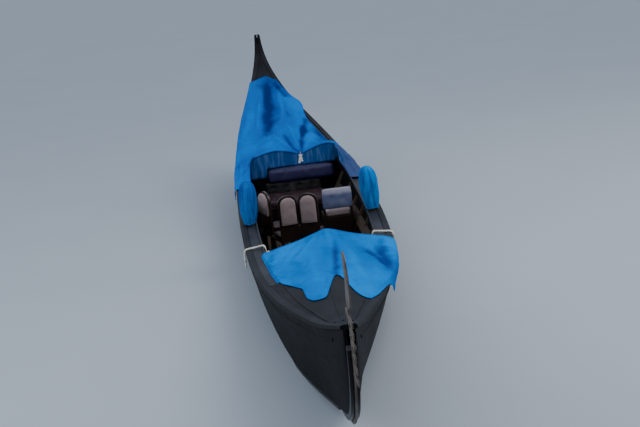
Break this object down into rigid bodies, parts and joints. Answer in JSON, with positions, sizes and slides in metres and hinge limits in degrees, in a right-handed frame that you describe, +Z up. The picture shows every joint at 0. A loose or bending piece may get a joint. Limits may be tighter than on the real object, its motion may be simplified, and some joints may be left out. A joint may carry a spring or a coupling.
{
  "type": "gondola boat",
  "caption": "Flat-bottomed Venetian gondola, moored, with a toothed bow iron, blue canvas covers over both ends, a passenger seat and chairs in its open well.",
  "frame": {"origin": "on the waterline at mid-length, on the line from stem to sternpost", "axes": "+X to the bow, +Y to port, +Z up"},
  "size_m": [10.9642, 1.4471, 2.0723],
  "materials": {
    "black_lacquer": "high gloss black lacquer",
    "bottom_paint": "dull black tar paint",
    "inner_wood": "dark oiled boards",
    "varnished_wood": "dark varnish",
    "iron": "worn",
    "blue_canvas": "coated canvas",
    "smoky_cover": "satin coated cloth",
    "maroon_leather": "worn leather",
    "black_leather": "worn leather",
    "white_rope": "laid rope",
    "pale_upholstery": "woven cloth"
  },
  "bodies": {
    "hull": {"side_planking_port": "black_lacquer", "side_planking_starboard": "black_lacquer", "bottom_planking": "bottom_paint", "stem": "black_lacquer", "sternpost": "black_lacquer", "cap_rail_port": "black_lacquer", "cap_rail_starboard": "black_lacquer", "fore_deck": "black_lacquer", "aft_deck": "black_lacquer", "fore_bulkhead": "black_lacquer", "aft_bulkhead": "black_lacquer", "floor_timbers": "inner_wood", "ribs_port": "inner_wood", "ribs_starboard": "inner_wood", "floorboards": "inner_wood", "fore_thwart": "black_lacquer", "cover_ridge_batten": "inner_wood", "bow_iron": "iron", "stern_iron": "iron", "side_deck_port": "black_lacquer", "side_deck_starboard": "black_lacquer", "mooring_rope_port": "white_rope", "mooring_rope_starboard": "white_rope", "seat_box": "black_lacquer", "seat_cushion": "maroon_leather", "seat_back_board": "black_lacquer", "seat_back_pad": "black_leather", "seat_back_roll": "maroon_leather", "seat_back_cover": "smoky_cover", "chair_frame_starboard": "varnished_wood", "chair_back_pad_starboard": "pale_upholstery", "chair_seat_pad_starboard": "maroon_leather", "chair_frame_middle": "varnished_wood", "chair_back_pad_middle": "pale_upholstery", "chair_seat_pad_middle": "maroon_leather", "chair_frame_port": "varnished_wood", "chair_back_pad_port": "pale_upholstery", "chair_seat_pad_port": "maroon_leather", "bench_box": "varnished_wood", "bench_cushion": "pale_upholstery", "bench_back_pad": "smoky_cover", "aft_cover": "blue_canvas", "aft_cover_corner": "blue_canvas", "back_cover_wing": "smoky_cover", "fore_cover": "blue_canvas", "hood_port": "blue_canvas", "hood_starboard": "blue_canvas"},
    "locker_door": {"locker_door": "black_lacquer"}
  },
  "joints": [
    {"name": "locker_door_hinge", "type": "hinge", "parent": "hull", "child": "locker_door", "pos_m": [2.5874, 0.214, 0.285], "axis": [0, 0, -1], "range_deg": [0, 95]}
  ]
}
